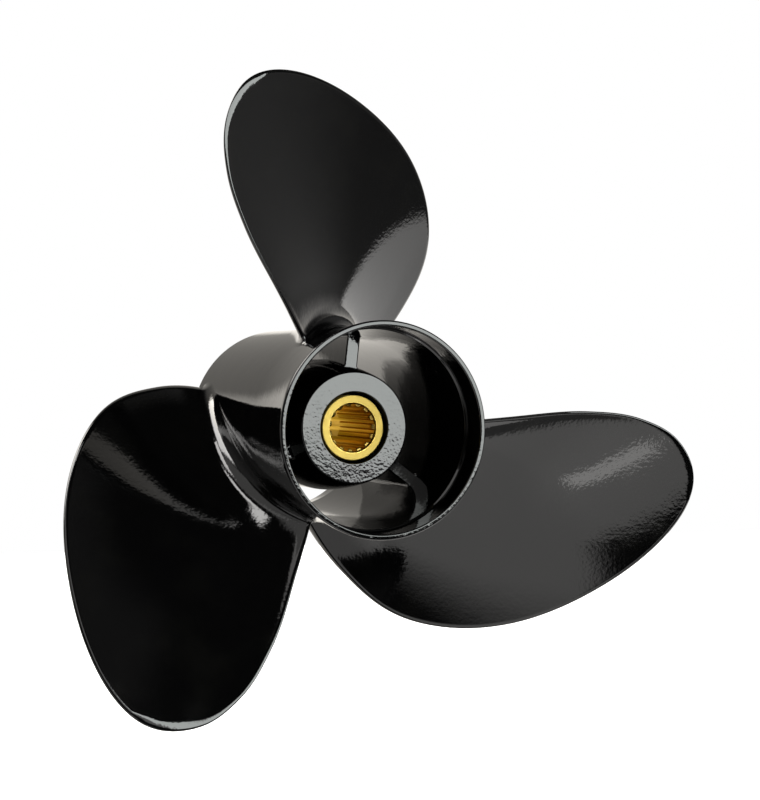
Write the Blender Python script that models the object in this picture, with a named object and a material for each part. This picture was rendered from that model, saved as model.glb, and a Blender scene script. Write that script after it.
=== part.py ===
"""A three-bladed outboard boat propeller with a rubber-cushioned, splined hub.

The shaft axis is Y and +Y points forward, to the bow. The exhaust leaves the barrel at its
rear end, towards -Y. Z is up. The origin is the propeller's reference point: where the line
that the blades are laid out from meets the shaft axis. Angles are measured about the shaft
axis from +X towards +Z, which is counter-clockwise for someone looking forward from astern.
Lengths are in metres.

The casting is one piece on the real object. Here its barrel, inner hub, ribs and blades are
separate solids with a hair gap between them, so that each keeps its own simple shape.
"""

import math

import bmesh
import bpy
import numpy as np

# --- Driving dimensions -------------------------------------------------------------------
INCH = 0.0254
DIAMETER = 11.125 * INCH
PITCH = 13.0 * INCH
BLADE_COUNT = 3
GAP = 0.0003  # between solids that touch on the real object

# Blades
BLADE_PHASE = math.radians(99.4)
RAKE_ANGLE = math.radians(17.1)  # the blades lean aft as they rise
RAKE_DATUM = 0.0400  # the radius at which the rake is measured from
RAKE_EASE = 0.31  # per metre: how much the lean straightens towards the tip
ROOT_THICKNESS = 0.0098
TIP_THICKNESS = 0.0024
ROOT_EDGE_THICKNESS = 0.0036
THICKNESS_EASE = 0.65  # power: the blade thins faster near the root than near the tip
EDGE_ROUNDING = 0.0016  # how far in from its outline a blade's edge is rounded
# Outline: at each share of the tip radius, the middle of the chord and the half-width factor,
# both in degrees about the shaft. The factor times sqrt(1 - share) is half the chord's angle.
OUTLINE_SHARES = (0.26, 0.45, 0.65, 0.80, 0.90, 1.00)
OUTLINE_MIDDLES = (-19.3, -14.5, -8.7, -1.6, 4.0, 8.4)
OUTLINE_WIDTHS = (49.2, 52.3, 55.9, 53.1, 47.2, 39.8)

# Barrel: a slightly tapered tube that flares out to a lip at its rear end
FRONT_Y = 0.0710
FRONT_RADIUS = 0.0380
FLARE_Y = -0.0100
FLARE_START_RADIUS = 0.0390
LIP_Y = -0.0490
LIP_RADIUS = 0.0416
LIP_ROUNDING = 0.0008
LIP_WALL = 0.0018
FRONT_EDGE_WALL = 0.0018
FLARE_POWER = 1.8  # the flare starts gently and steepens to the lip
# Inner wall: the passage narrows forward, from a ledge inside the lip to the front mouth
LEDGE_Y = -0.0375
LEDGE_RADIUS = 0.0382
PASSAGE_FLARE_Y = -0.0070
PASSAGE_FLARE_RADIUS = 0.0362
MOUTH_Y = 0.0600
MOUTH_RADIUS = 0.0352

# Inner hub: holds the rubber bush, with a cone-shaped nose at its rear end
NOSE_Y = -0.0180
NOSE_RADIUS = 0.0218
NOSE_ROUNDING = 0.0010
NOSE_POWER = 1.6  # how quickly the cone eases into the cylinder
HUB_RADIUS = 0.0256
HUB_FULL_Y = 0.0140
HUB_FRONT_Y = 0.0580
NOSE_HOLE_RADIUS = 0.0139
BUSH_SEAT_Y = 0.0020
BUSH_RADIUS = 0.0214
BUSH_LENGTH = 0.0480
BUSH_BEVEL = 0.0010

# Ribs between the inner hub and the barrel
RIB_PHASE = math.radians(83.3)
RIB_THICKNESS = 0.0048
RIB_REAR_Y = -0.0070
RIB_FRONT_Y = 0.0500
RIB_CORNER_GAP = 0.0002  # more room where a rib's corners near the barrel's curved wall

# Splined sleeve, pressed into the rubber bush
SLEEVE_REAR_Y = -0.01635
SLEEVE_FRONT_Y = 0.0620
SLEEVE_RADIUS = 0.0127
SLEEVE_CHAMFER = 0.0004
SPLINE_TEETH = 15
SPLINE_PHASE = math.radians(1.5)
SPLINE_ROOT_RADIUS = 0.0093
SPLINE_TOOTH_HEIGHT = 0.00095
SPLINE_START_Y = -0.0140
SPLINE_END_Y = 0.0200
SPLINE_RUN_OUT = 0.0025  # the length over which the teeth rise at their front end
SPLINE_REAR_RUN_OUT = 0.0010
SPLINE_RELIEF = 0.0002  # the plain bore ahead of the teeth is this much larger
REAR_MOUTH_RELIEF = 0.0004
SEAT_START_Y = 0.0480  # the tapered seat for the thrust washer starts here
SEAT_RADIUS = 0.0111

TURN_STEPS = 72
HUB_STEPS = 54
FLARE_STEPS = 6
RIB_STEPS = 8
CHORD_STEPS = 20
SPAN_STEPS = 16
ROOT_PASSES = 4  # a blade's root follows the barrel's taper, so its place is settled in passes
SMOOTH_ANGLE = math.radians(35)


# --- Helpers --------------------------------------------------------------------------------
def paint(name, colour, roughness, metallic, coat=0.0):
    """A Principled material with one plain colour."""
    material = bpy.data.materials.new(name)
    material.use_nodes = True
    shader = material.node_tree.nodes["Principled BSDF"]
    shader.inputs["Base Color"].default_value = (*colour, 1.0)
    shader.inputs["Roughness"].default_value = roughness
    shader.inputs["Metallic"].default_value = metallic
    shader.inputs["Coat Weight"].default_value = coat
    return material


def add_object(name, mesh, material, parent):
    """A smooth-shaded object in the scene, under its parent."""
    mesh.materials.append(material)
    mesh.shade_smooth()
    mesh.set_sharp_from_angle(angle=SMOOTH_ANGLE)
    made = bpy.data.objects.new(name, mesh)
    made.parent = parent
    bpy.context.scene.collection.objects.link(made)
    return made


def turned(name, profile, steps, material, parent):
    """A solid of revolution about Y from a closed outline of (y, radius) points."""
    shape = bmesh.new()
    points = [shape.verts.new((radius, y, 0.0)) for y, radius in profile]
    outline = [shape.edges.new(pair) for pair in zip(points, points[1:] + points[:1])]
    bmesh.ops.spin(
        shape,
        geom=points + outline,
        cent=(0, 0, 0),
        axis=(0, 1, 0),
        angle=math.tau,
        steps=steps,
        use_merge=True,
    )
    bmesh.ops.recalc_face_normals(shape, faces=shape.faces)
    mesh = bpy.data.meshes.new(name)
    shape.to_mesh(mesh)
    shape.free()
    return add_object(name, mesh, material, parent)


def lofted(name, rings, material, parent, first_cap=None, last_cap=None):
    """A closed solid whose skin joins each ring of points to the next.

    With no caps the last ring is joined to the first. Otherwise each cap is a function that
    gives the faces closing a ring, from the ring's corners.
    """
    shape = bmesh.new()
    rows = [[shape.verts.new(point) for point in ring] for ring in rings]
    followers = rows[1:] + rows[:1] if first_cap is None else rows[1:]
    for row, following in zip(rows, followers):
        corners = zip(row, row[1:] + row[:1], following[1:] + following[:1], following)
        for face in corners:
            shape.faces.new(face)
    if first_cap is not None:
        for cap, row in ((first_cap, rows[0]), (last_cap, rows[-1])):
            for face in cap(row):
                shape.faces.new(face)
    bmesh.ops.remove_doubles(shape, verts=rows[-1], dist=1e-7)
    bmesh.ops.recalc_face_normals(shape, faces=shape.faces)
    mesh = bpy.data.meshes.new(name)
    shape.to_mesh(mesh)
    shape.free()
    return add_object(name, mesh, material, parent)


def flat_cap(corners):
    """One face over a whole ring."""
    yield corners


def no_cap(_corners):
    """Nothing: the ring has drawn together to a point."""
    return ()


def smooth_curve(x, knots, values):
    """A cubic curve through the given values, with the mean of its neighbours' slopes at each."""
    knots, values = np.asarray(knots), np.asarray(values)
    slopes = np.gradient(values, knots)
    left = np.clip(np.searchsorted(knots, x) - 1, 0, len(knots) - 2)
    width = knots[left + 1] - knots[left]
    t = (x - knots[left]) / width
    rise = t * t * (3 - 2 * t)
    start = values[left] * (1 - rise) + slopes[left] * width * t * (1 - t) ** 2
    return start + values[left + 1] * rise - slopes[left + 1] * width * t * t * (1 - t)


# --- The casting's outer shapes -------------------------------------------------------------
def barrel_radius(y):
    """The barrel's outer radius at y: a straight taper, with a flare over its rear end."""
    taper = (FRONT_RADIUS - FLARE_START_RADIUS) / (FRONT_Y - FLARE_Y)
    flare = np.clip((FLARE_Y - y) / (FLARE_Y - LIP_Y), 0, None) ** FLARE_POWER
    rise = LIP_RADIUS - FLARE_START_RADIUS - taper * (LIP_Y - FLARE_Y)
    return FLARE_START_RADIUS + taper * (y - FLARE_Y) + rise * flare


def passage_radius(y):
    """The radius of the barrel's inner wall at y, between its ledge and its front mouth."""
    taper = (MOUTH_RADIUS - PASSAGE_FLARE_RADIUS) / (MOUTH_Y - PASSAGE_FLARE_Y)
    length = PASSAGE_FLARE_Y - LEDGE_Y
    flare = np.clip((PASSAGE_FLARE_Y - y) / length, 0, None) ** FLARE_POWER
    rise = LEDGE_RADIUS - PASSAGE_FLARE_RADIUS - taper * (LEDGE_Y - PASSAGE_FLARE_Y)
    return PASSAGE_FLARE_RADIUS + taper * (y - PASSAGE_FLARE_Y) + rise * flare


def inner_hub_radius(y):
    """The inner hub's outer radius at y: a cone that eases into a cylinder."""
    share = np.clip((y - NOSE_Y) / (HUB_FULL_Y - NOSE_Y), 0.0, 1.0)
    return NOSE_RADIUS + (HUB_RADIUS - NOSE_RADIUS) * (1 - (1 - share) ** NOSE_POWER)


def barrel_outline():
    """The barrel's section: forward along the outside, then back along the inside."""
    outside = [(y, barrel_radius(y)) for y in np.linspace(LIP_Y, FLARE_Y, FLARE_STEPS)]
    inside = [
        (y, passage_radius(y)) for y in np.linspace(PASSAGE_FLARE_Y, LEDGE_Y, FLARE_STEPS - 1)
    ]
    bevel = LIP_ROUNDING / 2
    arc = math.sqrt(0.5)  # the middle of the lip's quarter-round
    return [
        (LIP_Y - LIP_ROUNDING, LIP_RADIUS - LIP_ROUNDING),
        (LIP_Y - LIP_ROUNDING * arc, LIP_RADIUS - LIP_ROUNDING * (1 - arc)),
        *outside,
        (FRONT_Y - bevel, barrel_radius(FRONT_Y - bevel)),
        (FRONT_Y, FRONT_RADIUS - bevel),
        (FRONT_Y, FRONT_RADIUS - FRONT_EDGE_WALL),
        (MOUTH_Y, MOUTH_RADIUS),
        *inside,
        (LEDGE_Y - bevel, LEDGE_RADIUS + bevel * 2),
        (LIP_Y, LIP_RADIUS - LIP_WALL),
    ]


def inner_hub_outline():
    """The inner hub's section: forward along its cone and side, then back round the bush."""
    cone = [
        (y, inner_hub_radius(y))
        for y in np.linspace(NOSE_Y + NOSE_ROUNDING, HUB_FULL_Y, 5)
    ]
    return [
        (NOSE_Y, NOSE_HOLE_RADIUS),
        (NOSE_Y, NOSE_RADIUS - NOSE_ROUNDING),
        *cone,
        (HUB_FRONT_Y, HUB_RADIUS),
        (HUB_FRONT_Y, BUSH_RADIUS + GAP),
        (BUSH_SEAT_Y, BUSH_RADIUS + GAP),
        (BUSH_SEAT_Y, NOSE_HOLE_RADIUS),
    ]


def blade_rings(phase):
    """The blade's chord sections from the barrel to the tip, each a closed ring of points.

    The pressure face is a helicoid of constant pitch, raked aft. The thickness lies forward of
    it: an arch over the chord, rounded off within EDGE_ROUNDING of the outline.
    """
    tip = DIAMETER / 2
    across = -np.cos(np.linspace(0, math.pi, CHORD_STEPS + 1))
    across = np.concatenate([across, across[-2:0:-1]])
    forward_side = np.arange(len(across)) > CHORD_STEPS
    rings = []
    for step in range(SPAN_STEPS + 1):
        inset = (1 - step / SPAN_STEPS) ** 2
        y = np.zeros(len(across))
        for _ in range(ROOT_PASSES):
            root = barrel_radius(y) + GAP
            radius = tip - (tip - root) * inset
            share = radius / tip
            middle = np.radians(smooth_curve(share, OUTLINE_SHARES, OUTLINE_MIDDLES))
            width = np.radians(smooth_curve(share, OUTLINE_SHARES, OUTLINE_WIDTHS))
            half = width * np.sqrt(np.maximum(1 - share, 0))
            angle = middle + across * half
            out = radius - RAKE_DATUM
            rake = RAKE_EASE * out * out - math.tan(RAKE_ANGLE) * out
            lean = np.cos(np.arctan(PITCH / (math.tau * radius)))
            body = TIP_THICKNESS + (ROOT_THICKNESS - TIP_THICKNESS) * inset**THICKNESS_EASE
            edge = TIP_THICKNESS + (ROOT_EDGE_THICKNESS - TIP_THICKNESS) * inset
            full = edge + (body - edge) * (1 - across**2)
            room = (1 - np.abs(across)) * half * radius / lean
            rounded = np.sqrt(1 - (1 - np.clip(room / EDGE_ROUNDING, 0, 1)) ** 2)
            depth = full / lean
            side = np.where(forward_side, 1, -1) * rounded
            y = rake - PITCH / math.tau * angle + depth / 2 * (1 + side)
        turn = angle + phase
        rings.append(np.stack([radius * np.cos(turn), y, radius * np.sin(turn)], axis=1))
    return rings


def root_strips(corners):
    """The faces that close a blade's root: strips between its two sides, along the barrel."""
    count = len(corners)
    yield corners[0], corners[1], corners[-1]
    for near in range(1, CHORD_STEPS - 1):
        far = count - near
        yield corners[near], corners[near + 1], corners[far - 1], corners[far]
    middle = CHORD_STEPS
    yield corners[middle - 1], corners[middle], corners[middle + 1]


def rib_rings(phase):
    """A flat radial web's sections along the shaft, a hair clear of the hub and the barrel."""
    side = RIB_THICKNESS / 2
    rings = []
    for y in np.linspace(RIB_REAR_Y, RIB_FRONT_Y, RIB_STEPS):
        low = inner_hub_radius(y) + GAP
        high = passage_radius(y) - GAP - RIB_CORNER_GAP
        out = np.array([low, high, high, low])
        across = np.array([-side, -side, side, side])
        x = out * math.cos(phase) - across * math.sin(phase)
        z = out * math.sin(phase) + across * math.cos(phase)
        rings.append(np.stack([x, np.full(4, y), z], axis=1))
    return rings


def sleeve_rings():
    """The splined sleeve's rings, round its section: out along the back, home along the bore."""
    tooth = math.tau / SPLINE_TEETH
    corners = np.array([-0.36, -0.18, 0.18, 0.36])  # a tooth's foot, crest, crest, foot
    turns = (np.arange(SPLINE_TEETH)[:, None] * tooth + corners * tooth).ravel() + SPLINE_PHASE
    crest = np.tile([0.0, 1.0, 1.0, 0.0], SPLINE_TEETH)
    outer = SLEEVE_RADIUS
    bevel = SLEEVE_CHAMFER
    root = SPLINE_ROOT_RADIUS
    plain = root + SPLINE_RELIEF
    section = [
        (SLEEVE_REAR_Y, outer - bevel, 0),
        (SLEEVE_REAR_Y + bevel, outer, 0),
        (SLEEVE_FRONT_Y - bevel, outer, 0),
        (SLEEVE_FRONT_Y, outer - bevel, 0),
        (SLEEVE_FRONT_Y, SEAT_RADIUS, 0),
        (SEAT_START_Y, plain, 0),
        (SPLINE_END_Y + SPLINE_RUN_OUT, plain, 0),
        (SPLINE_END_Y, root, 1),
        (SPLINE_START_Y, root, 1),
        (SPLINE_START_Y - SPLINE_REAR_RUN_OUT, root, 0),
        (SLEEVE_REAR_Y, root + REAR_MOUTH_RELIEF, 0),
    ]
    rings = []
    for y, radius, toothed in section:
        radii = radius - toothed * SPLINE_TOOTH_HEIGHT * crest
        rings.append(
            np.stack([radii * np.cos(turns), np.full(len(turns), y), radii * np.sin(turns)], 1)
        )
    return rings


def bush_outline():
    """The rubber bush's section: a bevelled ring between the sleeve and the inner hub."""
    rear = BUSH_SEAT_Y + GAP
    front = rear + BUSH_LENGTH
    return [
        (rear, SLEEVE_RADIUS + GAP),
        (rear, BUSH_RADIUS - BUSH_BEVEL),
        (rear + BUSH_BEVEL, BUSH_RADIUS),
        (front - BUSH_BEVEL, BUSH_RADIUS),
        (front, BUSH_RADIUS - BUSH_BEVEL),
        (front, SLEEVE_RADIUS + GAP),
    ]


# --- Assembly -------------------------------------------------------------------------------
def main():
    """Build every piece under the shaft's frame."""
    for old in list(bpy.data.objects):
        bpy.data.objects.remove(old)

    black_gloss = paint("black_gloss_paint", (0.012, 0.012, 0.013), 0.12, 0.0, coat=1.0)
    brass = paint("machined_brass", (0.83, 0.60, 0.22), 0.25, 1.0)
    rubber = paint("hub_rubber", (0.02, 0.02, 0.02), 0.8, 0.0)

    shaft_frame = bpy.data.objects.new("shaft_frame", None)
    casting_axis = bpy.data.objects.new("casting_axis", None)
    casting_axis.parent = shaft_frame
    for empty in (shaft_frame, casting_axis):
        bpy.context.scene.collection.objects.link(empty)

    turned("hub_barrel", barrel_outline(), TURN_STEPS, black_gloss, casting_axis)
    turned("inner_hub", inner_hub_outline(), HUB_STEPS, black_gloss, casting_axis)
    for index in range(BLADE_COUNT):
        turn = math.tau * index / BLADE_COUNT
        web = rib_rings(RIB_PHASE + turn)
        lofted(f"rib_{index + 1}", web, black_gloss, casting_axis, flat_cap, flat_cap)
        blade = blade_rings(BLADE_PHASE + turn)
        lofted(f"blade_{index + 1}", blade, black_gloss, casting_axis, root_strips, no_cap)

    turned("rubber_bush", bush_outline(), HUB_STEPS, rubber, shaft_frame)
    lofted("splined_sleeve", sleeve_rings(), brass, shaft_frame)


main()
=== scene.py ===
"""The looks of an outboard boat propeller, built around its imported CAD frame.

The shaft axis is Y, and +Y points forward, to the bow. Z is up. The exhaust leaves the barrel
at its rear end, towards -Y. Angles are measured about the shaft from +X towards +Z. Lengths are
in metres. Every CAD node is replaced, one for one, by a finer surface with the real piece's
fillets, rounded edges and finish.
"""

import logging
import math
from dataclasses import dataclass
from enum import Enum
from typing import ClassVar, Sequence, Union

import bpy
import numpy as np
from bpy.types import Material, Node, NodeSocket, NodeTree, Object
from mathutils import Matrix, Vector


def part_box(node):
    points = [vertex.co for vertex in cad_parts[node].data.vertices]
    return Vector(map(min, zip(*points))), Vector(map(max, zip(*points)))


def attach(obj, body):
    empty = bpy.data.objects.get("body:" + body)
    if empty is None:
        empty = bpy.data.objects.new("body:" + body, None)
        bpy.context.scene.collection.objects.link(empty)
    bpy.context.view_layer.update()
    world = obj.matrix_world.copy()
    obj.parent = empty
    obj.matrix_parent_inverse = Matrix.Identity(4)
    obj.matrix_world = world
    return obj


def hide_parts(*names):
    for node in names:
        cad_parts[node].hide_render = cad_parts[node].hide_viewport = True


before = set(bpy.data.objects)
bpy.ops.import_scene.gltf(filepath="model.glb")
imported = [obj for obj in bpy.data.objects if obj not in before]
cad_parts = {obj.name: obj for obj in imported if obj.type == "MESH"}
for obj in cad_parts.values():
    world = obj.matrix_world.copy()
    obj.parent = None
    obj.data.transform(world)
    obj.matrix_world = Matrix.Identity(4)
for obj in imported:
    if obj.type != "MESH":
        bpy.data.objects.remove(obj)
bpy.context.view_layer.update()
log = logging.getLogger("propeller")

Grid = np.ndarray  # an array of points, lengths or angles
INCH = 0.0254
SINK = 0.0003  # how far a fitted piece's edge goes beneath the surface it meets
BLADE_COUNT = 3
HOLD = 0.12  # how far past a rounded edge its flat is held true, as a share of the rounding
TINY = 1e-9  # keeps a division from failing where a length is nought
MERGE_DIGITS = 8  # points that agree to so many digits of a metre are one point
NEARLY_STRAIGHT = math.radians(89)  # half a corner's angle from which it needs no rounding


class Body(Enum):
    """The rigid bodies that a piece can ride on."""

    CASTING = "casting"
    SLEEVE = "sleeve"


class Slot(Enum):
    """The record's material slots."""

    PAINT = "black_gloss_paint"
    BRASS = "machined_brass"
    RUBBER = "hub_rubber"


# --- Shader arithmetic ------------------------------------------------------------------------
Value = Union["Wire", float, tuple]


class Wire:
    """A shader socket that takes part in Python arithmetic by adding Math nodes."""

    def __init__(self, board: "Board", socket: NodeSocket) -> None:
        """Wrap one output socket.

        Args:
            board: the board that new nodes are added to.
            socket: the output socket.
        """
        self.board = board
        self.socket = socket

    def __add__(self, other: Value) -> "Wire":
        """This value plus the other."""
        return self.board.math("ADD", self, other)

    __radd__ = __add__

    def __sub__(self, other: Value) -> "Wire":
        """This value less the other."""
        return self.board.math("SUBTRACT", self, other)

    def __rsub__(self, other: Value) -> "Wire":
        """The other value less this."""
        return self.board.math("SUBTRACT", other, self)

    def __mul__(self, other: Value) -> "Wire":
        """This value times the other."""
        return self.board.math("MULTIPLY", self, other)

    __rmul__ = __mul__


class Board:
    """A node tree that is being laid out."""

    def __init__(self, tree: NodeTree) -> None:
        """Start with an empty tree.

        Args:
            tree: a material's or the world's node tree, which is cleared.
        """
        self.tree = tree
        tree.nodes.clear()

    def node(self, kind: str, settings: dict, sockets: dict) -> Node:
        """Add one node.

        Args:
            kind: the node's type name.
            settings: properties of the node, which are set first.
            sockets: the value or the wire of each input socket, by name or number.

        Returns:
            The new node.
        """
        made = self.tree.nodes.new(kind)
        for name, value in settings.items():
            setattr(made, name, value)
        for name, value in sockets.items():
            if isinstance(value, Wire):
                self.tree.links.new(value.socket, made.inputs[name])
            else:
                made.inputs[name].default_value = value
        return made

    def out(self, kind: str, output: str, settings: dict, sockets: dict) -> Wire:
        """Add one node and return the wire of one of its outputs.

        Args:
            kind: the node's type name.
            output: the name of the output.
            settings: properties of the node.
            sockets: the values or wires of its inputs.

        Returns:
            The output as a wire.
        """
        return Wire(self, self.node(kind, settings, sockets).outputs[output])

    def math(self, operation: str, first: Value, second: Value = 0.0) -> Wire:
        """A Math node's result for one or two values."""
        inputs = {0: first, 1: second}
        return self.out("ShaderNodeMath", "Value", {"operation": operation}, inputs)

    def place(self) -> Wire:
        """The point's place in the object's own coordinates, in metres."""
        return self.out("ShaderNodeTexCoord", "Object", {}, {})

    def split(self, vector: Wire) -> tuple[Wire, Wire, Wire]:
        """The three parts of a vector."""
        node = self.node("ShaderNodeSeparateXYZ", {}, {"Vector": vector})
        return tuple(Wire(self, node.outputs[axis]) for axis in "XYZ")

    def noise(self, where: Wire, size: float, detail: float = 2.0) -> Wire:
        """Soft noise from 0 to 1.

        Args:
            where: the place it is read at.
            size: the width of one lump, in metres.
            detail: how many finer layers it has.

        Returns:
            The noise as a wire.
        """
        inputs = {"Vector": where, "Scale": 1 / size, "Detail": detail}
        return self.out("ShaderNodeTexNoise", "Fac", {}, inputs)

    def stretched(self, where: Wire, scale: tuple) -> Wire:
        """A place with each of its parts multiplied."""
        inputs = {0: where, 1: scale}
        return self.out("ShaderNodeVectorMath", "Vector", {"operation": "MULTIPLY"}, inputs)

    def ramp(self, value: Wire, low: float, high: float) -> Wire:
        """A smooth step from 0 to 1.

        Args:
            value: what it is read at.
            low: the value up to which it is 0.
            high: the value from which it is 1.

        Returns:
            The step as a wire.
        """
        settings = {"interpolation_type": "SMOOTHSTEP"}
        inputs = {"Value": value, "From Min": low, "From Max": high}
        return self.out("ShaderNodeMapRange", "Result", settings, inputs)

    def blend(self, share: Value, first: Value, second: Value) -> Wire:
        """A colour between two colours.

        Args:
            share: the second colour's share.
            first: a colour of three parts, or a wire.
            second: the other colour, or a wire.

        Returns:
            The colour as a wire.
        """
        node = self.node("ShaderNodeMix", {"data_type": "RGBA"}, {"Factor": share})
        for socket, value in ((node.inputs[6], first), (node.inputs[7], second)):
            if isinstance(value, Wire):
                self.tree.links.new(value.socket, socket)
            else:
                socket.default_value = (*value, 1.0)
        return Wire(self, node.outputs[2])

    def bump(self, height: Wire, depth: float, under: Wire | None = None) -> Wire:
        """A normal that a height field bends.

        Args:
            height: the field, from 0 to 1.
            depth: its full height, in metres.
            under: another bump's normal that this one is added to.

        Returns:
            The normal as a wire.
        """
        inputs = {"Height": height, "Distance": depth, "Strength": 1.0}
        if under is not None:
            inputs["Normal"] = under
        return self.out("ShaderNodeBump", "Normal", {}, inputs)

    def surface(self, sockets: dict) -> None:
        """Close a material with a principled shader of the given values and wires."""
        shader = self.out("ShaderNodeBsdfPrincipled", "BSDF", {}, sockets)
        self.node("ShaderNodeOutputMaterial", {}, {"Surface": shader})


# --- Finishes ---------------------------------------------------------------------------------
def new_material(name: str) -> tuple[Material, Board]:
    """A material with an empty board.

    Args:
        name: the material's name.

    Returns:
        The material and its board.
    """
    material = bpy.data.materials.new(name)
    material.use_nodes = True
    return material, Board(material.node_tree)


@dataclass(frozen=True)
class GlossPaint:
    """Black gloss enamel sprayed over a cast skin: orange peel on top of long, soft waves."""

    colour: tuple = (0.0006, 0.0006, 0.00065)
    dusty_colour: tuple = (0.0011, 0.0011, 0.0010)
    roughness: float = 0.05
    roughness_range: float = 0.04
    index: float = 1.52
    peel_size: float = 0.0013
    peel_depth: float = 0.000024
    peel_detail: float = 1.5
    wave_size: float = 0.0075
    wave_depth: float = 0.000030
    wave_detail: float = 1.0
    dust_size: float = 0.018
    dust_detail: float = 3.0
    dust_range: tuple = (0.45, 0.75)  # the noise at which dust starts and is full

    def make(self) -> Material:
        """Lay out the paint: two bumps for its skin, and noise for its colour and sheen.

        Returns:
            The material.
        """
        material, board = new_material("gloss_black_enamel")
        place = board.place()
        waves = board.noise(place, self.wave_size, self.wave_detail)
        peel = board.noise(place, self.peel_size, self.peel_detail)
        patches = board.noise(place, self.dust_size, self.dust_detail)
        normal = board.bump(peel, self.peel_depth, board.bump(waves, self.wave_depth))
        dust = board.ramp(patches, *self.dust_range)
        board.surface(
            {
                "Base Color": board.blend(dust, self.colour, self.dusty_colour),
                "Roughness": self.roughness + self.roughness_range * dust,
                "IOR": self.index,
                "Normal": normal,
            }
        )
        return material


@dataclass(frozen=True)
class TurnedBrass:
    """Brass: turned rings on its faces, and broach marks along its toothed bore."""

    colour: tuple = (0.76, 0.54, 0.140)
    tarnish: tuple = (0.28, 0.180, 0.034)
    face_colour: tuple = (0.51, 0.385, 0.104)
    grazing_tint: tuple = (0.88, 0.66, 0.34, 1.0)
    bore_radius: float = 0.0099
    bore_blend: float = 0.0001
    ring_pitch: float = 0.00022
    ring_depth: float = 0.0000025
    broach_size: float = 0.0005
    broach_stretch: float = 0.04
    broach_depth: float = 0.000012
    stain_size: float = 0.0022
    stain_detail: float = 4.0
    stain_range: tuple = (0.3, 0.7)  # the noise at which tarnish starts and is full
    stain_roughness: float = 0.14
    face_wear: float = 0.8  # the share of the scratches that turning took off the faces
    roughness: float = 0.24
    face_roughness: float = 0.58

    def make(self) -> Material:
        """Lay out the brass: the bore's marks and tarnish inside its radius, rings outside.

        Returns:
            The material.
        """
        material, board = new_material("turned_brass")
        place = board.place()
        x, _, z = board.split(place)
        radius = board.math("SQRT", x * x + z * z)
        inner, outer = self.bore_radius - self.bore_blend, self.bore_radius + self.bore_blend
        face = board.ramp(radius, inner, outer)
        rings = board.math("SINE", radius * (math.tau / self.ring_pitch)) * 0.5 + 0.5
        along = board.stretched(place, (1.0, self.broach_stretch, 1.0))
        scratches = board.noise(along, self.broach_size)
        stain = board.noise(along, self.stain_size, self.stain_detail)
        height = rings * face * (self.ring_depth / self.broach_depth)
        height = height + scratches * (1 - face * self.face_wear)
        tarnished = board.ramp(stain, *self.stain_range)
        bore_colour = board.blend(tarnished, self.colour, self.tarnish)
        board.surface(
            {
                "Base Color": board.blend(face, bore_colour, self.face_colour),
                "Roughness": self.roughness
                + self.stain_roughness * stain
                + face * (self.face_roughness - self.roughness),
                "Metallic": 1.0,
                "Specular Tint": self.grazing_tint,
                "Normal": board.bump(height, self.broach_depth),
            }
        )
        return material


@dataclass(frozen=True)
class MouldedRubber:
    """Dull black rubber with a fine moulded grain and a dusty bloom."""

    colour: tuple = (0.012, 0.012, 0.012)
    bloom: tuple = (0.03, 0.03, 0.029)
    grain_size: float = 0.0006
    grain_depth: float = 0.00003
    patch_size: float = 0.006
    detail: float = 3.0
    bloom_range: tuple = (0.35, 0.7)  # the noise at which bloom starts and is full
    roughness: float = 0.6
    bloom_roughness: float = 0.2  # what the bloom adds

    def make(self) -> Material:
        """Lay out the rubber: a fine grain, and a patchy bloom.

        Returns:
            The material.
        """
        material, board = new_material("moulded_rubber")
        place = board.place()
        grain = board.noise(place, self.grain_size, self.detail)
        patches = board.noise(place, self.patch_size, self.detail)
        bloomed = board.ramp(patches, *self.bloom_range)
        board.surface(
            {
                "Base Color": board.blend(bloomed, self.colour, self.bloom),
                "Roughness": self.roughness + self.bloom_roughness * bloomed,
                "Normal": board.bump(grain, self.grain_depth),
            }
        )
        return material


# --- Surfaces ---------------------------------------------------------------------------------
def grid_faces(rows: int, columns: int, ring_of_rows: bool) -> Grid:
    """The quads of a grid whose columns close in a ring.

    Args:
        rows: how many rows of points there are.
        columns: how many points each row has.
        ring_of_rows: whether the last row is also joined to the first.

    Returns:
        Four point numbers for each face.
    """
    row = np.arange(rows if ring_of_rows else rows - 1)[:, None]
    column = np.arange(columns)[None, :]
    here, ahead = row * columns, (row + 1) % rows * columns
    beside = (column + 1) % columns
    quads = np.stack([here + column, here + beside, ahead + beside, ahead + column], axis=-1)
    return quads.reshape(-1, 4)


def signed_volume(points: Grid, quads: Grid) -> float:
    """Six times a closed surface's volume: the sum of the boxes that its triangles span.

    Args:
        points: the surface's points.
        quads: four point numbers for each face.

    Returns:
        The sum, which is negative where the faces point inwards.
    """
    a, b, c, d = (points[quads[:, corner]] for corner in range(4))
    first = np.einsum("ij,ij->i", a, np.cross(b, c))
    second = np.einsum("ij,ij->i", a, np.cross(c, d))
    return float(np.sum(first + second))


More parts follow.
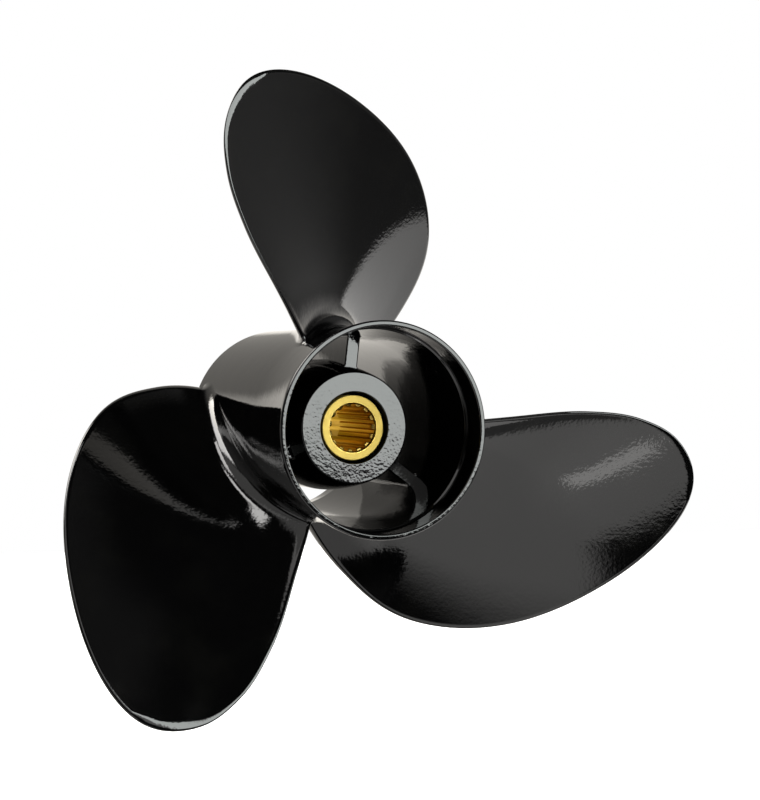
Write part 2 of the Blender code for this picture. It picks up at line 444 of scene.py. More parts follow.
def make_piece(
    name: str,
    grid: Grid,
    material: Material,
    body: Body,
    node: str,
    ring_of_rows: bool = False,
) -> Object:
    """A closed, smooth-shaded piece from a grid of points.

    Rows that draw together to a line or a point are merged there. Faces are turned outwards.

    Args:
        name: the piece's name.
        grid: points as an array of rows, columns and three coordinates.
        material: its finish.
        body: the body that it rides on.
        node: the CAD node that it stands for.
        ring_of_rows: whether the last row is also joined to the first.

    Returns:
        The new object.
    """
    rows, columns = grid.shape[:2]
    points = grid.reshape(-1, 3)
    quads = grid_faces(rows, columns, ring_of_rows)
    if signed_volume(points, quads) < 0:
        quads = quads[:, ::-1]
    merged, index = np.unique(np.round(points, MERGE_DIGITS), axis=0, return_inverse=True)
    corners = index.reshape(-1)[quads]
    fresh = corners != np.roll(corners, 1, axis=1)
    counts = fresh.sum(axis=1)
    mesh = bpy.data.meshes.new(name)
    mesh.from_pydata(
        merged.tolist(),
        [],
        [face[keep].tolist() for face, keep in zip(corners[counts > 2], fresh[counts > 2])],
    )
    mesh.validate()
    mesh.shade_smooth()
    mesh.materials.append(material)
    piece = bpy.data.objects.new(name, mesh)
    bpy.context.scene.collection.objects.link(piece)
    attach(piece, body.value)
    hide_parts(node)
    log.info("%s: %d points, %d faces", name, len(merged), len(mesh.polygons))
    return piece


def rounded_profile(corners: Sequence[tuple], arc_points: int = 7) -> Grid:
    """A closed profile whose corners are replaced by arcs.

    Each corner is (y, radius, rounding). An arc of the given rounding touches both of the
    corner's sides at rounding times the cotangent of half the corner's angle. A point just
    past each end of the arc keeps the shading of the flat beside it true.

    Args:
        corners: the profile's corners in order.
        arc_points: how many points each arc has.

    Returns:
        The profile's points as rows of (y, radius).
    """
    spots = np.array([corner[:2] for corner in corners])
    stretches = []
    for index, (_, _, rounding) in enumerate(corners):
        here = spots[index]
        back = spots[index - 1] - here
        ahead = spots[(index + 1) % len(spots)] - here
        back, ahead = back / np.linalg.norm(back), ahead / np.linalg.norm(ahead)
        half = math.acos(float(np.clip(back @ ahead, -1, 1))) / 2
        if rounding <= 0 or half > NEARLY_STRAIGHT:
            stretches.append(here[None])
            continue
        middle_way = (back + ahead) / np.linalg.norm(back + ahead)
        centre = here + middle_way * rounding / math.sin(half)
        start = here + back * rounding / math.tan(half) - centre
        end = here + ahead * rounding / math.tan(half) - centre
        sweep = math.pi - 2 * half
        share = np.linspace(0, 1, arc_points)[:, None]
        weights = np.sin((1 - share) * sweep), np.sin(share * sweep)
        arc = centre + (start * weights[0] + end * weights[1]) / math.sin(sweep)
        hold = rounding * HOLD
        stretches.append(np.concatenate([arc[:1] + back * hold, arc, arc[-1:] + ahead * hold]))
    return np.concatenate(stretches)


def turned(profile: Grid, steps: int) -> Grid:
    """A profile carried round the shaft: x is radius times cosine, z is radius times sine.

    Args:
        profile: rows of (y, radius).
        steps: how many steps a full turn has.

    Returns:
        A grid of points, one row for each point of the profile.
    """
    turn = np.linspace(0, math.tau, steps, endpoint=False)[None, :]
    y, radius = profile[:, :1], profile[:, 1:]
    flat = np.broadcast_to(y, (len(profile), steps))
    return np.stack([radius * np.cos(turn), flat, radius * np.sin(turn)], axis=-1)


class Turning:
    """A piece turned about the shaft from a rounded section."""

    name: ClassVar[str]
    node: ClassVar[str]
    body: ClassVar[Body] = Body.CASTING
    slot: ClassVar[Slot] = Slot.PAINT
    steps: int

    def corners(self) -> list:
        """The section's corners as (y, radius, rounding)."""
        raise NotImplementedError

    def shaped(self, grid: Grid) -> Grid:
        """The turned grid, which a piece may press into shape."""
        return grid

    def build(self, material: Material) -> Object:
        """Turn the section about the shaft.

        Args:
            material: the piece's finish.

        Returns:
            The new object.
        """
        grid = self.shaped(turned(rounded_profile(self.corners()), self.steps))
        return make_piece(self.name, grid, material, self.body, self.node, True)


class Threefold:
    """A piece of the casting that repeats three times round the shaft."""

    name: ClassVar[str]
    node: ClassVar[str]
    phase: float

    def grid(self, phase: float) -> Grid:
        """The piece's grid at an angle about the shaft."""
        raise NotImplementedError

    def build(self, material: Material) -> None:
        """Make the three, a third of a turn apart.

        Args:
            material: their finish.
        """
        for index in range(BLADE_COUNT):
            grid = self.grid(self.phase + math.tau * index / BLADE_COUNT)
            name, node = f"{self.name}_{index + 1}", f"{self.node}_{index + 1}"
            make_piece(name, grid, material, Body.CASTING, node)


def fillet_reach(height: Grid, radius: Grid) -> Grid:
    """How far a concave fillet stands out at a height above the surface it runs into.

    It is radius less the half-chord of its circle: radius - sqrt(radius^2 - (radius -
    height)^2), which is the radius itself at height 0 and nothing from height = radius on.
    """
    left = np.clip(radius - height, 0, radius)
    return radius - np.sqrt(np.maximum(radius**2 - left**2, 0))


def smooth_curve(x: Grid, knots: Sequence[float], values: Sequence[float]) -> Grid:
    """A cubic curve through values, with the mean of its neighbours' slopes at each knot.

    Between two knots it is start * (1 - s) + end * s with s = t^2 (3 - 2t), plus each end's
    slope times t (1 - t)^2 or -t^2 (1 - t).

    Args:
        x: where the curve is read.
        knots: the places of the values, in rising order.
        values: the values at the knots.

    Returns:
        The curve's value at each x.
    """
    knots, values = np.asarray(knots), np.asarray(values)
    slopes = np.gradient(values, knots)
    left = np.clip(np.searchsorted(knots, x) - 1, 0, len(knots) - 2)
    width = knots[left + 1] - knots[left]
    t = (x - knots[left]) / width
    rise = t * t * (3 - 2 * t)
    start = values[left] * (1 - rise) + slopes[left] * width * t * (1 - t) ** 2
    return start + values[left + 1] * rise - slopes[left + 1] * width * t * t * (1 - t)


# --- The casting ------------------------------------------------------------------------------
@dataclass(frozen=True)
class Flare:
    """A tapered wall that flares towards the rear: straight, plus a power of the way aft."""

    front_y: float
    front_radius: float
    start_y: float
    start_radius: float
    end_y: float
    end_radius: float
    power: float = 1.8

    def radius(self, y: Grid) -> Grid:
        """The wall's radius: a straight taper, plus the flare's rise times share^power.

        Args:
            y: places along the shaft.

        Returns:
            The radius at each place.
        """
        taper = (self.front_radius - self.start_radius) / (self.front_y - self.start_y)
        share = np.clip((self.start_y - y) / (self.start_y - self.end_y), 0, None)
        rise = self.end_radius - self.start_radius - taper * (self.end_y - self.start_y)
        return self.start_radius + taper * (y - self.start_y) + rise * share**self.power

    def profile(self, first_y: float, last_y: float, count: int) -> list:
        """Corners without rounding along the wall, from one y to another."""
        y = np.linspace(first_y, last_y, count)
        return [(a, b, 0.0) for a, b in zip(y, self.radius(y))]


@dataclass(frozen=True)
class Barrel(Turning):
    """The outer barrel: a tapered tube with a flared rear lip and a ledge inside it."""

    name: ClassVar[str] = "barrel"
    node: ClassVar[str] = "hub_barrel"
    outside: Flare
    passage: Flare
    lip_rounding: float = 0.0008
    lip_draw: float = 0.00005  # how far the lip's corner stays inside the flare's full radius
    lip_wall: float = 0.0022
    inner_lip_rounding: float = 0.00056
    front_edge_wall: float = 0.0018
    front_rounding: float = 0.0004
    throat_rounding: float = 0.0040
    ledge_step: float = 0.0008
    ledge_length: float = 0.0004
    ledge_rounding: float = 0.00035
    clear: float = 0.0020  # the length without points beside a corner, and half of it aft
    outer_points: tuple = (28, 12)  # along the flare and along the taper
    inner_points: tuple = (20, 16)
    steps: int = 300

    def corners(self) -> list:
        """The corners: forward along the outside, and back along the passage to the lip.

        Returns:
            Each corner as (y, radius, rounding).
        """
        lip, ledge, clear = self.outside, self.passage, self.clear
        rear = lip.end_y - self.lip_rounding
        foot = (ledge.end_y - self.ledge_length, ledge.end_radius + self.ledge_step)
        return [
            (rear, lip.end_radius - self.lip_draw, self.lip_rounding),
            *lip.profile(lip.end_y + clear / 2, lip.start_y, self.outer_points[0]),
            *lip.profile(lip.start_y + 2 * clear, lip.front_y - clear, self.outer_points[1]),
            (lip.front_y, lip.front_radius, self.front_rounding),
            (lip.front_y, lip.front_radius - self.front_edge_wall, self.front_rounding),
            (ledge.front_y, ledge.front_radius, self.throat_rounding),
            *ledge.profile(ledge.front_y - 2 * clear, ledge.start_y, self.inner_points[1]),
            *ledge.profile(ledge.start_y - clear, ledge.end_y + clear / 2, self.inner_points[0]),
            (ledge.end_y, ledge.end_radius, self.ledge_rounding),
            (*foot, self.ledge_rounding),
            (rear, lip.end_radius - self.lip_wall, self.inner_lip_rounding),
        ]


@dataclass(frozen=True)
class InnerHub(Turning):
    """The inner hub: a cone that eases into a cylinder round the rubber bush."""

    name: ClassVar[str] = "inner_hub_casting"
    node: ClassVar[str] = "inner_hub"
    nose_y: float
    front_y: float
    radius: float
    nose_radius: float = 0.0218
    nose_rounding: float = 0.0007
    nose_clear: float = 0.0016  # the length without points beside the nose's corner
    full_y: float = 0.0140
    cone_points: int = 22
    power: float = 1.6
    hole_radius: float = 0.0139
    hole_rounding: float = 0.0004
    seat_y: float = 0.0020
    seat_radius: float = 0.0217
    edge_rounding: float = 0.0006
    steps: int = 240

    def outer(self, y: Grid) -> Grid:
        """The outer radius at y: the cone's rise slows down until it is the cylinder's."""
        share = np.clip((y - self.nose_y) / (self.full_y - self.nose_y), 0.0, 1.0)
        return self.nose_radius + (self.radius - self.nose_radius) * (1 - (1 - share) ** self.power)

    def corners(self) -> list:
        """The corners: forward along the cone, round the front and back along the hole.

        Returns:
            Each corner as (y, radius, rounding).
        """
        y = np.linspace(self.nose_y + self.nose_clear, self.full_y, self.cone_points)
        return [
            (self.nose_y, self.hole_radius, self.hole_rounding),
            (self.nose_y, self.nose_radius, self.nose_rounding),
            *((a, b, 0.0) for a, b in zip(y, self.outer(y))),
            (self.front_y, self.radius, self.edge_rounding),
            (self.front_y, self.seat_radius, self.edge_rounding),
            (self.seat_y, self.seat_radius, 0.0),
            (self.seat_y, self.hole_radius, 0.0),
        ]


@dataclass(frozen=True)
class Ribs(Threefold):
    """Three flat webs between the inner hub and the barrel, filleted into both."""

    name: ClassVar[str] = "web"
    node: ClassVar[str] = "rib"
    hub: InnerHub
    barrel: Barrel
    rear_y: float
    front_y: float
    phase: float = math.radians(83.3)
    thickness: float = 0.0053
    fillet: float = 0.0008
    edge_rounding: float = 0.00055
    end_length: float = 0.0020  # what each end keeps for its rounding
    end_points: int = 8
    rise_points: int = 48
    length_points: int = 24

    def grid(self, phase: float) -> Grid:
        """One web as rows along the shaft, each a ring: up one side and down the other.

        The half-width is half the thickness plus the two fillets' reach, less the edge's
        rounding at both ends, and it is laid off as an arc at each radius.

        Args:
            phase: the web's angle about the shaft.

        Returns:
            The grid of points.
        """
        quarter = np.linspace(0, math.pi / 2, self.end_points)
        held = self.edge_rounding * (1 + HOLD)
        closed = math.inf  # the inset at which the ring closes to a line
        end_y = self.edge_rounding * (1 - np.cos(quarter))
        end_y = np.concatenate([[0.0, 0.0], end_y, [held]])
        end_inset = self.edge_rounding * (1 - np.sin(quarter))
        end_inset = np.concatenate([[closed, held], end_inset, [0.0]])
        first, last = self.rear_y + self.end_length, self.front_y - self.end_length
        middle = np.linspace(first, last, self.length_points)
        y = np.concatenate([self.rear_y + end_y, middle, self.front_y - end_y[::-1]])[:, None]
        plain = np.zeros(self.length_points)
        inset = np.concatenate([end_inset, plain, end_inset[::-1]])[:, None]
        low = self.hub.outer(y) - SINK
        high = self.barrel.passage.radius(y) + SINK
        rise = (1 - np.cos(np.linspace(0, math.pi, self.rise_points)))[None, :] / 2
        out = low + (high - low) * rise
        reach = fillet_reach(out - low - SINK, self.fillet) + fillet_reach(
            high - SINK - out, self.fillet
        )
        half = np.maximum(self.thickness / 2 + reach - inset, 0.0)
        radius = np.concatenate([out, out[:, ::-1]], axis=1)
        lean = np.concatenate([half / out, -(half / out)[:, ::-1]], axis=1) + phase
        flat = np.broadcast_to(y, radius.shape)
        return np.stack([radius * np.cos(lean), flat, radius * np.sin(lean)], axis=-1)


@dataclass(frozen=True)
class Blades(Threefold):
    """Three raked blades on a helicoid of constant pitch.

    The pressure face lies on the helicoid and looks aft. The thickness is an arch forward of
    it. The trailing edge is cupped aft, and fillets run into the barrel on both sides.
    """

    name: ClassVar[str] = "blade_skin"
    node: ClassVar[str] = "blade"
    barrel: Barrel
    diameter: float = 11.125 * INCH
    pitch: float = 13.0 * INCH
    phase: float = math.radians(99.4)
    rake_slope: float = math.tan(math.radians(17.1))
    rake_datum: float = 0.0400
    rake_ease: float = 0.31
    root_thickness: float = 0.0098
    tip_thickness: float = 0.0024
    root_edge_thickness: float = 0.0036
    thickness_ease: float = 0.65
    edge_rounding: float = 0.0016
    trailing_root_rounding: float = 0.0012  # what it gains at the trailing edge's root
    trailing_tip_rounding: float = 0.0018  # and near its tip
    trailing_ease: float = 0.5  # the share of the half chord over which it gains that
    tip_zone: tuple = (0.80, 0.93)
    shares: tuple = (0.26, 0.45, 0.65, 0.80, 0.90, 1.00)
    middles: tuple = (-19.3, -14.5, -8.7, -1.6, 4.0, 8.4)
    widths: tuple = (49.2, 52.3, 55.9, 53.1, 47.2, 39.8)
    fillet: float = 0.0095
    edge_fillet: float = 0.0030  # what it falls to at the leading and trailing edges
    skirt: float = 0.0004  # how far a fillet's foot runs on beneath the barrel's surface
    skirt_depth: float = 0.00005
    keel_depth: float = 3 * SINK  # how far the closed root lies beneath that surface
    cup_height: float = 0.0008
    cup_width: float = 0.0052
    cup_tip_width: float = 0.0030
    cup_fade: float = 0.10  # the share of the tip radius over which the cup fades at the tip
    chord_points: int = 84
    fillet_rows: int = 18
    span_rows: int = 84
    settling_passes: int = 5

    def outline(self, radius: Grid) -> tuple[Grid, Grid]:
        """The chord's place at a radius.

        Half its angle is a smooth width times sqrt(1 - radius / tip radius), so the tip is
        round.

        Args:
            radius: distances from the shaft's axis.

        Returns:
            The chord's middle angle and half its angle.
        """
        share = np.clip(radius / (self.diameter / 2), 0.0, 1.0)
        middle = np.radians(smooth_curve(share, self.shares, self.middles))
        width = np.radians(smooth_curve(share, self.shares, self.widths))
        return middle, width * np.sqrt(1 - share)

    def margin(self, radius: Grid, angle: Grid, lean: Grid) -> Grid:
        """The distance in from the blade's outline.

        The field half-angle^2 - (angle - middle)^2 is nought on the outline. Over the length
        of its gradient it is the distance there.

        Args:
            radius: distances from the shaft's axis.
            angle: angles about it.
            lean: the cosine of the blade's slope there.

        Returns:
            The distances.
        """
        step = 1e-5
        middle, half = self.outline(radius)
        inner_middle, inner_half = self.outline(radius - step)
        field_here = half**2 - (angle - middle) ** 2
        field_inner = inner_half**2 - (angle - inner_middle) ** 2
        along = (field_here - field_inner) / step
        around = 2 * (angle - middle) * lean / radius
        return np.maximum(field_here, 0) / np.maximum(np.hypot(along, around), TINY)

    def stations(self) -> tuple[Grid, Grid, Grid]:
        """The grid's two parameters.

        A ring runs from the leading to the trailing edge on the pressure face, as -cos(t) for
        t from 0 to pi, and back on the suction face. Rows run from the root to the tip, close
        together in the fillet and at the tip.

        Returns:
            The places across the chord from -1 to 1, each one's face as -1 or 1, and the rows'
            insets from 1 at the root to 0 at the tip.
        """
        across = -np.cos(np.linspace(0, math.pi, self.chord_points + 1))
        across = np.concatenate([across, across[-2:0:-1]])[None, :]
        forward = np.where(np.arange(across.size) > self.chord_points, 1.0, -1.0)[None, :]
        span = self.diameter / 2 - self.barrel.outside.start_radius
        low = self.fillet * (1 - np.cos(np.linspace(0, math.pi / 2, self.fillet_rows)))
        first = 1 - low[-1] / span
        high = first * (1 - np.linspace(0, 1, self.span_rows)[1:]) ** 2
        return across, forward, np.concatenate([1 - low / span, high])[:, None]

    def thickness(self, across: Grid, inset: Grid) -> Grid:
        """The thickness: an arch, 1 - across^2, on top of the edges' own thickness.

        Args:
            across: places across the chord.
            inset: the rows' insets from the tip.

        Returns:
            The thickness along the blade's normal.
        """
        gain = self.root_thickness - self.tip_thickness
        body = self.tip_thickness + gain * inset**self.thickness_ease
        edge = self.tip_thickness + (self.root_edge_thickness - self.tip_thickness) * inset
        return edge + (body - edge) * (1 - across**2)

    def edges(self, share: Grid, across: Grid, inset: Grid, margin: Grid) -> tuple[Grid, Grid]:
        """The edges' rounding, and how far the trailing edge is bent aft.

        With m the margin over the rounding, up to 1, the thickness is sqrt(1 - (1 - m)^2) of
        its full value: a quarter of a circle. The cup is a parabola over its width.

        Args:
            share: radius over the tip's radius.
            across: places across the chord.
            inset: the rows' insets from the tip.
            margin: distances in from the outline.

        Returns:
            The thickness's shares, from 0 on the outline to 1, and the cup's lengths.
        """
        outer = np.interp(share, self.tip_zone, (0.0, 1.0))
        extra = self.trailing_root_rounding * inset**2 + self.trailing_tip_rounding * outer
        extra = extra * np.clip(across / self.trailing_ease, 0, 1)
        room = np.clip(margin / (self.edge_rounding + extra), 0, 1)
        width = self.cup_tip_width + (self.cup_width - self.cup_tip_width) * inset
        bend = np.where(across > 0, np.clip(1 - margin / width, 0, 1) ** 2, 0)
        fade = np.clip((1 - share) / self.cup_fade, 0, 1)
        cup = self.cup_height * bend * fade * width / self.cup_width
        return np.sqrt(1 - (1 - room) ** 2), cup

    def bare_skin(self, across: Grid, forward: Grid, inset: Grid) -> tuple[Grid, Grid]:
        """The blade before its fillets.

        It is the rake less pitch times angle over a full turn, plus the thickness on the
        suction face, less the cup. The rows settle on the barrel's taper in a few passes.

        Args:
            across: places across the chord.
            forward: -1 on the pressure face and 1 on the suction face.
            inset: the rows' insets from the tip.

        Returns:
            The lengths round the shaft and along it.
        """
        tip = self.diameter / 2
        y = np.zeros((len(inset), across.size))
        for _ in range(self.settling_passes):
            radius = tip - (tip - self.barrel.outside.radius(y)) * inset
            middle, half = self.outline(radius)
            angle = middle + across * half
            out = radius - self.rake_datum
            rake = self.rake_ease * out**2 - self.rake_slope * out
            lean = np.cos(np.arctan(self.pitch / (math.tau * radius)))
            margin = self.margin(radius, angle, lean)
            share, cup = self.edges(radius / tip, across, inset, margin)
            thickness = self.thickness(across, inset) / lean
            y = rake - self.pitch / math.tau * angle + thickness / 2 * (1 + forward * share)
            y = y - cup
        return radius * angle, y

    def grid(self, phase: float) -> Grid:
        """One blade as rows from the root to the tip, each a ring round the chord's section.

        Each point below the fillet's radius moves out along the section's normal by the
        fillet's reach. The first rows carry the foot on beneath the barrel and close it.

        Args:
            phase: the blade's angle about the shaft.

        Returns:
            The grid of points.
        """
        tip = self.diameter / 2
        across, forward, inset = self.stations()
        around, y = self.bare_skin(across, forward, inset)
        run = np.roll(around, -1, axis=1) - np.roll(around, 1, axis=1)
        climb = np.roll(y, -1, axis=1) - np.roll(y, 1, axis=1)
        length = np.maximum(np.hypot(run, climb), TINY)
        swing = np.sign(np.sum(around * climb - y * run, axis=1, keepdims=True))
        middle_share = np.clip(1 - across**2, 0, 1)
        size = self.edge_fillet + (self.fillet - self.edge_fillet) * middle_share
        height = (tip - self.barrel.outside.radius(y)) * (1 - inset)
        reach = fillet_reach(height, size)
        reach = np.concatenate([reach[:1] + self.skirt, reach])
        twice = np.concatenate([[0], np.arange(len(inset))])
        y = y[twice] - (swing * run / length)[twice] * reach
        around = around[twice] + (swing * climb / length)[twice] * reach
        radius = tip - (tip - self.barrel.outside.radius(y)) * inset[twice]
        radius[0] -= self.skirt_depth
        lines = np.stack([around / np.maximum(radius, TINY), y, radius], axis=-1)
        sunk = lines[:1] - np.array([0.0, 0.0, self.keel_depth])
        mirror = np.concatenate([[0], np.arange(across.size - 1, 0, -1)])
        keel = (sunk + sunk[:, mirror]) / 2
        turn, y, radius = np.moveaxis(np.concatenate([keel, sunk, lines]), -1, 0)
        return np.stack([radius * np.cos(turn + phase), y, radius * np.sin(turn + phase)], -1)


# --- The sleeve and its bush ------------------------------------------------------------------
@dataclass(frozen=True)
class Bush(Turning):
    """The rubber bush: a rounded ring between the sleeve and the inner hub."""

    name: ClassVar[str] = "cushion_bush"
    node: ClassVar[str] = "rubber_bush"
    body: ClassVar[Body] = Body.SLEEVE
    slot: ClassVar[Slot] = Slot.RUBBER
    rear_y: float
    front_y: float
    outer_radius: float
    inner_radius: float = 0.0129
    rounding: float = 0.0012
    inner_rounding: float = 0.0003
    steps: int = 200

    def corners(self) -> list:
        """The ring's four corners."""
        return [
            (self.rear_y, self.inner_radius, 0.0),
            (self.rear_y, self.outer_radius, self.rounding),
            (self.front_y, self.outer_radius, self.rounding),
            (self.front_y, self.inner_radius, self.inner_rounding),
        ]


@dataclass(frozen=True)
class SplinedSleeve(Turning):
    """The brass sleeve: a turned tube with straight teeth along the rear of its bore."""

    name: ClassVar[str] = "brass_sleeve"
    node: ClassVar[str] = "splined_sleeve"
    body: ClassVar[Body] = Body.SLEEVE
    slot: ClassVar[Slot] = Slot.BRASS
    rear_y: float
    front_y: float
    radius: float
    bevel: float = 0.0004
    teeth: int = 15
    phase: float = math.radians(1.5)
    root_radius: float = 0.0093
    tooth_height: float = 0.00095
    teeth_start_y: float = -0.0148
    teeth_end_y: float = 0.0200
    run_out: float = 0.0025
    rear_run_out: float = 0.0006
    seat_start_y: float = 0.0480
    seat_radius: float = 0.0111
    relief: float = 0.0002
    seat_rounding: float = 0.0002
    throat_rounding: float = 0.0010
    mouth_rounding: float = 0.0003
    tooth_half: float = 0.34  # half a tooth's foot, as a share of the pitch
    flank: float = 0.14  # and the width of each of its flanks
    bore_points: tuple = (10, 14, 8)  # along the front run-out, the teeth and the rear run-out
    steps: int = 300  # 20 points for each tooth

    def corners(self) -> list:
        """The corners: forward along the outside, and back along the bore.

        Returns:
            Each corner as (y, radius, rounding).
        """
        mouth = self.root_radius + 2 * self.relief
        plain = self.root_radius + self.relief
        front_y, end_y = self.teeth_end_y, self.teeth_start_y - self.rear_run_out
        front_points, tooth_points, rear_points = self.bore_points
        bore_y = np.concatenate(
            [
                np.linspace(front_y + self.run_out, front_y, front_points),
                np.linspace(front_y, self.teeth_start_y, tooth_points)[1:],
                np.linspace(self.teeth_start_y, end_y, rear_points)[1:],
            ]
        )
        return [
            (self.rear_y, self.radius, self.bevel),
            (self.front_y, self.radius, self.bevel),
            (self.front_y, self.seat_radius, self.seat_rounding),
            (self.seat_start_y, plain, self.throat_rounding),
            *((y, self.root_radius, 0.0) for y in bore_y),
            (self.rear_y, mouth, self.mouth_rounding),
        ]

    def shaped(self, grid: Grid) -> Grid:
        """The tube with its bore pressed in at the teeth.

        A tooth's rise across its pitch is a smooth step up and down, so flanks are steep and
        crests flat. Its rise along the bore runs out smoothly at both ends.

        Args:
            grid: the plain tube.

        Returns:
            The toothed tube.
        """
        turn = np.arctan2(grid[..., 2], grid[..., 0]) - self.phase
        place = np.abs((turn * self.teeth / math.tau + 0.5) % 1 - 0.5)
        crest = np.clip((self.tooth_half - place) / self.flank, 0, 1)
        crest = crest * crest * (3 - 2 * crest)
        y, radius = grid[..., 1], np.hypot(grid[..., 0], grid[..., 2])
        front = np.clip((self.teeth_end_y + self.run_out - y) / self.run_out, 0, 1)
        rear = np.clip((y - self.teeth_start_y + self.rear_run_out) / self.rear_run_out, 0, 1)
        bore = radius < (self.radius + self.root_radius) / 2
        rise = self.tooth_height * crest * front * (2 - front) * rear * (2 - rear) * bore
        shrink = 1 - rise / radius
        return grid * np.stack([shrink, np.ones_like(shrink), shrink], axis=-1)


# --- The studio -------------------------------------------------------------------------------
@dataclass(frozen=True)
class Panel:
    """A soft-edged patch of the surround that glows, such as a softbox or a pale card.

    Azimuth is 0 towards -Y and 90 towards +X. Angles are in degrees.
    """

    azimuths: tuple
    heights: tuple
    glow: float
    softness: float = 2.0
    slope: float = 0.0  # how far the heights climb for each degree of azimuth
    height_softness: float = 0.0  # where it differs

    def light(self, board: Board, azimuth: Wire, height: Wire) -> Wire:
        """The patch's glow: four soft steps multiplied.

        Args:
            board: the surround's board.
            azimuth: the direction's azimuth.
            height: the direction's height above the horizon.

        Returns:
            The glow as a wire.
        """
        rise = height - self.slope * (azimuth - self.azimuths[0])
        share = self.glow
        for angle, (low, high), soft in (
            (azimuth, self.azimuths, self.softness),
            (rise, self.heights, self.height_softness or self.softness),
        ):
            share = share * board.ramp(angle, low - soft, low + soft)
            share = share * (1 - board.ramp(angle, high - soft, high + soft))
        return share


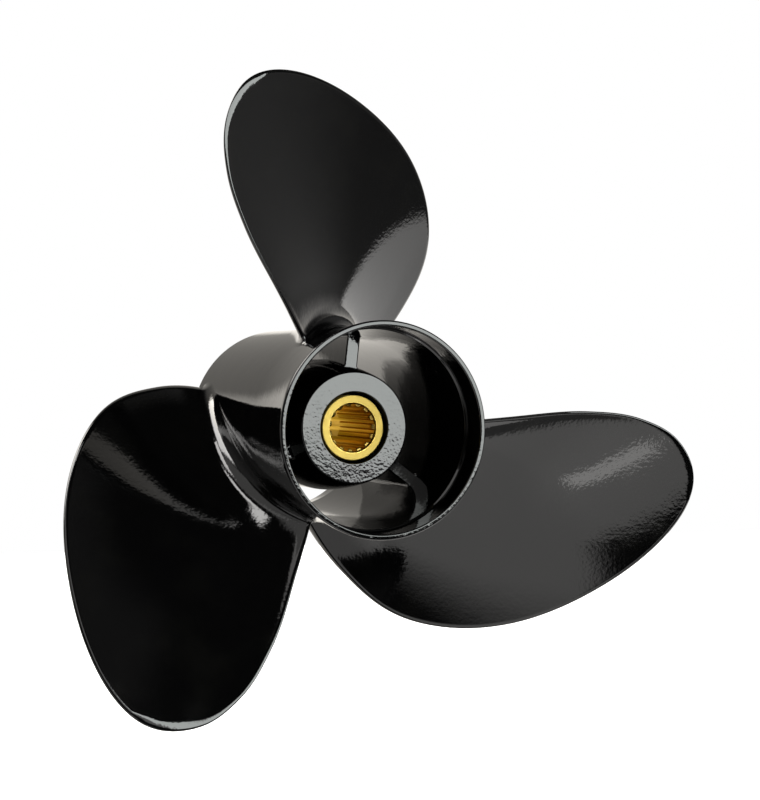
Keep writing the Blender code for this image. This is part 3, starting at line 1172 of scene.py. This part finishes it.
@dataclass(frozen=True)
class Studio:
    """A pale floor, a soft surround of panels and cards, and the camera."""

    floor_z: float = -0.30
    floor_size: float = 6.0
    floor_shade: float = 0.9
    floor_roughness: float = 0.9
    camera_place: tuple = (-0.34963, -0.92709, 0.03183)
    camera_target: tuple = (0.01780, 0.0, 0.01032)
    focal_length: float = 113.03
    sensor_width: float = 36.0
    clip_range: tuple = (0.01, 50.0)
    room_glow: float = 0.014
    backdrop_glow: float = 1.15
    backdrop_span: tuple = (0.35, 0.6)  # how far ahead it starts and is full
    backdrop_dimming: float = 0.75  # what it loses above the horizon
    dimming_heights: tuple = (7.0, 11.0)
    table: tuple = (1.0, 0.985, 0.965)
    backdrop: tuple = (1.0, 0.955, 0.88)
    softbox_tint: tuple = (0.955, 1.0, 0.975)
    softbox: Panel = Panel((-4, 60), (3.3, 35.5), 8.2, 1.0, slope=-0.25, height_softness=0.3)
    panels: tuple = (
        Panel((-156, -106), (27, 55), 10.0, 3.0),  # the key light on the left, in two strips
        Panel((-113, -84), (58.5, 70), 9.0, 1.5),
        Panel((-76, -57), (71.5, 80), 9.0, 1.5),
        Panel((-102, -74), (16, 64), 0.8, 3.0),  # what it lights beside it
        Panel((-90, -64), (-22, 2), 0.9, 3.0),
        Panel((-74, -3), (35, 57.3), 1.5, 1.5, slope=-0.355),  # a pale board above the camera
        Panel((-92, -19.5), (-120, -20), 1.27, 3.0, height_softness=10.0),  # the pale table
        Panel((-19.5, 9), (-120, -36.4), 1.34, 3.0, height_softness=0.8),
        Panel((-24, 8), (-58, -44), 0.22, 8.0),
        Panel((-16, 1), (-52.8, -49.2), 2.3, 0.5, slope=0.33),  # a bright gap on it
        Panel((9, 50), (-90, -48), 0.3, 2.0),
        Panel((55, 130), (-36, 12), 0.10, 1.5),  # a grey wall on the right
        Panel((55, 112), (-9, 12), 0.21, 9.0),
        Panel((55, 130), (-120, -40.5), 1.72, 1.0, slope=0.48),  # and a pale card under it
        Panel((5, 52), (34, 50), 0.08, 5.0),
        Panel((60, 105), (30, 45), 0.12, 4.0),
    )

    def floor(self) -> None:
        """Lay a pale floor, which isn't part of the object and isn't mirrored in the paint."""
        edge = self.floor_size / 2
        mesh = bpy.data.meshes.new("floor")
        corners = [(-edge, -edge), (edge, -edge), (edge, edge), (-edge, edge)]
        mesh.from_pydata([(x, y, self.floor_z) for x, y in corners], [], [(0, 1, 2, 3)])
        material, board = new_material("pale_floor")
        board.surface(
            {
                "Base Color": (self.floor_shade,) * 3 + (1.0,),
                "Roughness": self.floor_roughness,
                "Emission Color": (1.0, 1.0, 1.0, 1.0),
                "Emission Strength": self.floor_shade,
            }
        )
        mesh.materials.append(material)
        floor = bpy.data.objects.new("floor", mesh)
        floor.visible_glossy = False
        bpy.context.scene.collection.objects.link(floor)

    def surround(self) -> None:
        """A white surround to look at, and a room of panels to light and to be mirrored.

        Each panel adds its glow in the direction's azimuth and height. The backdrop ahead of
        the propeller is bright near the horizon and dimmer above it.
        """
        world = bpy.data.worlds.new("studio")
        world.use_nodes = True
        bpy.context.scene.world = world
        board = Board(world.node_tree)
        direction = board.out("ShaderNodeTexCoord", "Generated", {}, {})
        x, y, z = board.split(direction)
        azimuth = board.math("ARCTAN2", x, -1 * y) * math.degrees(1)
        height = board.math("ARCSINE", z) * math.degrees(1)
        ahead = board.ramp(y, *self.backdrop_span)
        dimmer = board.ramp(height, *self.dimming_heights) * self.backdrop_dimming
        main = self.softbox.light(board, azimuth, height)
        glow = self.room_glow + ahead * (self.backdrop_glow - dimmer) + main
        for panel in self.panels:
            glow = glow + panel.light(board, azimuth, height)
        seen = board.out("ShaderNodeLightPath", "Is Camera Ray", {}, {})
        strength = board.math("MAXIMUM", seen, glow * (1 - seen))
        colour = board.blend(main * (1 / self.softbox.glow), self.table, self.softbox_tint)
        colour = board.blend(ahead, colour, self.backdrop)
        colour = board.blend(seen, colour, (1.0, 1.0, 1.0))
        inputs = {"Color": colour, "Strength": strength}
        background = board.out("ShaderNodeBackground", "Background", {}, inputs)
        board.node("ShaderNodeOutputWorld", {}, {"Surface": background})

    def camera(self) -> None:
        """Place the camera and make it the scene's own."""
        lens = bpy.data.cameras.new("camera")
        lens.lens = self.focal_length
        lens.sensor_width = self.sensor_width
        lens.clip_start, lens.clip_end = self.clip_range
        eye = bpy.data.objects.new("camera", lens)
        eye.location = self.camera_place
        aim = Vector(self.camera_target) - Vector(self.camera_place)
        eye.rotation_euler = aim.to_track_quat("-Z", "Y").to_euler()
        bpy.context.scene.collection.objects.link(eye)
        bpy.context.scene.camera = eye

    def build(self) -> None:
        """Set the whole studio up."""
        bpy.context.scene.view_settings.view_transform = "Standard"
        self.floor()
        self.surround()
        self.camera()


# --- Assembly ---------------------------------------------------------------------------------
def main() -> None:
    """Build every piece in order, then the studio."""
    barrel_low, barrel_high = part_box("hub_barrel")
    hub_low, hub_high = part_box("inner_hub")
    rib_low, rib_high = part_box("rib_1")
    bush_low, bush_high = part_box("rubber_bush")
    sleeve_low, sleeve_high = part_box("splined_sleeve")
    paint, brass = GlossPaint().make(), TurnedBrass().make()
    rubber = MouldedRubber().make()

    outside = Flare(
        front_y=barrel_high.y,
        front_radius=0.0380,
        start_y=-0.0100,
        start_radius=0.0390,
        end_y=barrel_low.y + Barrel.lip_rounding,
        end_radius=barrel_high.x,
    )
    passage = Flare(
        front_y=0.0600,
        front_radius=0.0352,
        start_y=-0.0070,
        start_radius=0.0362,
        end_y=-0.0375,
        end_radius=0.0382,
    )
    barrel = Barrel(outside, passage)
    barrel.build(paint)
    hub = InnerHub(hub_low.y, hub_high.y, hub_high.x)
    hub.build(paint)
    Ribs(hub, barrel, rib_low.y, rib_high.y).build(paint)
    Blades(barrel).build(paint)
    Bush(bush_low.y, bush_high.y, bush_high.x).build(rubber)
    SplinedSleeve(sleeve_low.y, sleeve_high.y, sleeve_high.z).build(brass)
    Studio().build()

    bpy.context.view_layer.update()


if __name__ == "__main__":
    logging.basicConfig(level=logging.INFO, format="%(name)s: %(message)s")
    main()
